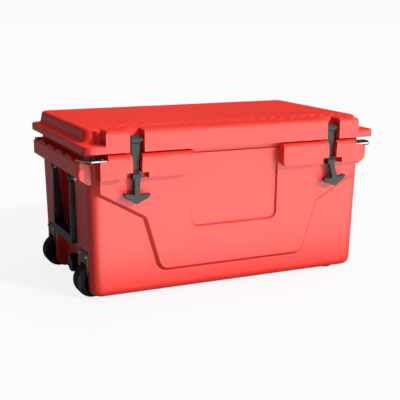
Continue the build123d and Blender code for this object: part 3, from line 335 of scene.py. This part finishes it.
def steel(name, colour, dull, rough):
    """Brushed metal: long fine noise along the length, in gloss and in height."""
    grain, grain_octaves, grain_depth = (60, 1500, 1500), 4, 0.00002
    dull_patches_per_metre = 30.0
    material, tree, shader, place = blank_material(name)
    marks = placed_group(tree, handling, place, "Patches per metre", dull_patches_per_metre)
    brushed = noise(tree, stretched(tree, place, grain), 1, grain_octaves)
    feed(tree, colour_mix(tree, marks.outputs["Patches"], colour, dull), shader.inputs["Base Color"])
    feed(tree, 1, shader.inputs["Metallic"])
    feed(tree, spread(tree, brushed, *rough), shader.inputs["Roughness"])
    bump(tree, shader, brushed, grain_depth)
    return material


stainless = steel(
    "stainless_steel", colour=(0.40, 0.41, 0.40), dull=(0.28, 0.29, 0.28), rough=(0.40, 0.55)
)
dark_zinc = steel("olive_zinc", colour=(0.050, 0.052, 0.030), dull=(0.090, 0.085, 0.045), rough=(0.35, 0.55))
for name in (
    "hinge_rod_left", "hinge_rod_right", "latch_pin_left", "latch_pin_right", "lock_plate_left",
    "lock_plate_right", "lock_plate_screws", "handle_pins", "wheel_axle_front", "wheel_axle_rear",
    "axle_nuts", "wheel_bracket_screws", "foot_screws",
):
    finish_node(name, stainless)
for name in ("wheel_bracket_front", "wheel_bracket_rear"):
    finish_node(name, dark_zinc)

# ---- Room, light and camera ------------------------------------------------------------------
# A pale studio floor that runs on to the horizon, a low key light at the front right with crisp
# shadows, weaker lights from the front, above and behind, two pale cards that show in sheen
# alone, and a viewpoint at standing height at the front left.
floor_size, floor_drop = 60.0, 0.0005
floor_tone, floor_seen_tone = (0.20, 0.20, 0.20), (0.09, 0.09, 0.09)
floor_glow, glossy_share = 0.86, 0.15
bpy.ops.mesh.primitive_plane_add(size=floor_size, location=(0, 0, -floor_drop))
floor = bpy.context.object
floor.name = "studio_floor"
floor_material, floor_tree, floor_shader, _ = blank_material("studio_floor")
floor_path = floor_tree.nodes.new("ShaderNodeLightPath")
floor_seen = floor_path.outputs["Is Camera Ray"]
floor_shade = colour_mix(floor_tree, floor_seen, floor_tone, floor_seen_tone)
feed(floor_tree, floor_shade, floor_shader.inputs["Base Color"])
feed(floor_tree, 1, floor_shader.inputs["Roughness"])
feed(floor_tree, 0, floor_shader.inputs["Specular IOR Level"])
feed(floor_tree, (1, 1, 1), floor_shader.inputs["Emission Color"])
in_gloss = math_node(floor_tree, "MULTIPLY", floor_path.outputs["Is Glossy Ray"], glossy_share)
in_gloss_or_glass = math_node(floor_tree, "MAXIMUM", in_gloss, floor_path.outputs["Is Transmission Ray"])
floor_shown = math_node(floor_tree, "MAXIMUM", floor_seen, in_gloss_or_glass)
glow = math_node(floor_tree, "MULTIPLY", floor_shown, floor_glow)
feed(floor_tree, glow, floor_shader.inputs["Emission Strength"])
floor.data.materials.append(floor_material)

dim_room, pale_backdrop = 0.07, 0.956
world = bpy.data.worlds.new("studio")
world.use_nodes = True
bpy.context.scene.world = world
world_tree = world.node_tree
sky = world_tree.nodes["Background"]
feed(world_tree, (1, 1, 1), sky.inputs["Color"])
path = world_tree.nodes.new("ShaderNodeLightPath")
seen = math_node(world_tree, "MAXIMUM", path.outputs["Is Camera Ray"], path.outputs["Is Transmission Ray"])
feed(world_tree, spread(world_tree, seen, dim_room, pale_backdrop), sky.inputs["Strength"])


def sun(name, toward, spread_degrees, strength):
    """A distant round light, placed by the direction towards it; its spread softens the shadows."""
    lamp = bpy.data.lights.new(name, "SUN")
    lamp.angle = math.radians(spread_degrees)
    lamp.energy = strength
    lit = bpy.data.objects.new(name, lamp)
    lit.rotation_euler = Vector(toward).to_track_quat("Z", "Y").to_euler()
    bpy.context.scene.collection.objects.link(lit)
    return lit


def card(name, place, target, width, height, radiance):
    """A pale panel, aimed at a point, that shows in sheen alone and lights nothing by itself."""
    lamp = bpy.data.lights.new(name, "AREA")
    lamp.shape = "RECTANGLE"
    lamp.size = width
    lamp.size_y = height
    lamp.energy = radiance * math.pi * width * height
    lit = bpy.data.objects.new(name, lamp)
    lit.location = place
    lit.rotation_euler = (Vector(target) - Vector(place)).to_track_quat("-Z", "Y").to_euler()
    lit.visible_camera = False
    lit.visible_diffuse = False
    bpy.context.scene.collection.objects.link(lit)


key_direction, key_card_distance = (0.481, -0.741, 0.469), 3.5
key = sun("key_light", key_direction, spread_degrees=3, strength=3.9)
sun("front_fill", (0.30, -0.94, 0.12), spread_degrees=40, strength=0.8)
overhead = sun("overhead_light", (0.30, 0.12, 0.95), spread_degrees=70, strength=1.75)
rear_fill = sun("rear_fill", (0.35, 0.93, 0.06), spread_degrees=8, strength=1.8)
for lamp_without_glare in (key, overhead, rear_fill):
    lamp_without_glare.visible_glossy = False
card(
    "key_card", key_card_distance * Vector(key_direction), target=(0, 0, 0.2),
    width=1.8, height=1.8, radiance=4.0,
)
card("front_card", (1.25, -2.6, 0.002), target=(1.25, -2.6, 1), width=3.6, height=4.4, radiance=6.5)

image_size = 400
focal_pixels = 858.84
sensor_width = 36.0
camera_place = Vector((-0.97518, -2.1392, 0.7069))
camera_yaw, camera_pitch, camera_roll = -0.4302, 0.2196, 0.0048
forward = Vector((
    -math.sin(camera_yaw) * math.cos(camera_pitch),
    math.cos(camera_yaw) * math.cos(camera_pitch),
    -math.sin(camera_pitch),
))
level_right = Vector((math.cos(camera_yaw), math.sin(camera_yaw), 0))
level_up = level_right.cross(forward)
right = math.cos(camera_roll) * level_right + math.sin(camera_roll) * level_up
up = -math.sin(camera_roll) * level_right + math.cos(camera_roll) * level_up
camera_data = bpy.data.cameras.new("camera")
camera_data.sensor_width = sensor_width
camera_data.lens = focal_pixels / image_size * sensor_width
camera = bpy.data.objects.new("camera", camera_data)
turn = Matrix((right, up, -forward)).transposed().to_4x4()
camera.matrix_world = Matrix.Translation(camera_place) @ turn
bpy.context.scene.collection.objects.link(camera)
bpy.context.scene.camera = camera
bpy.context.scene.view_settings.view_transform = "Standard"
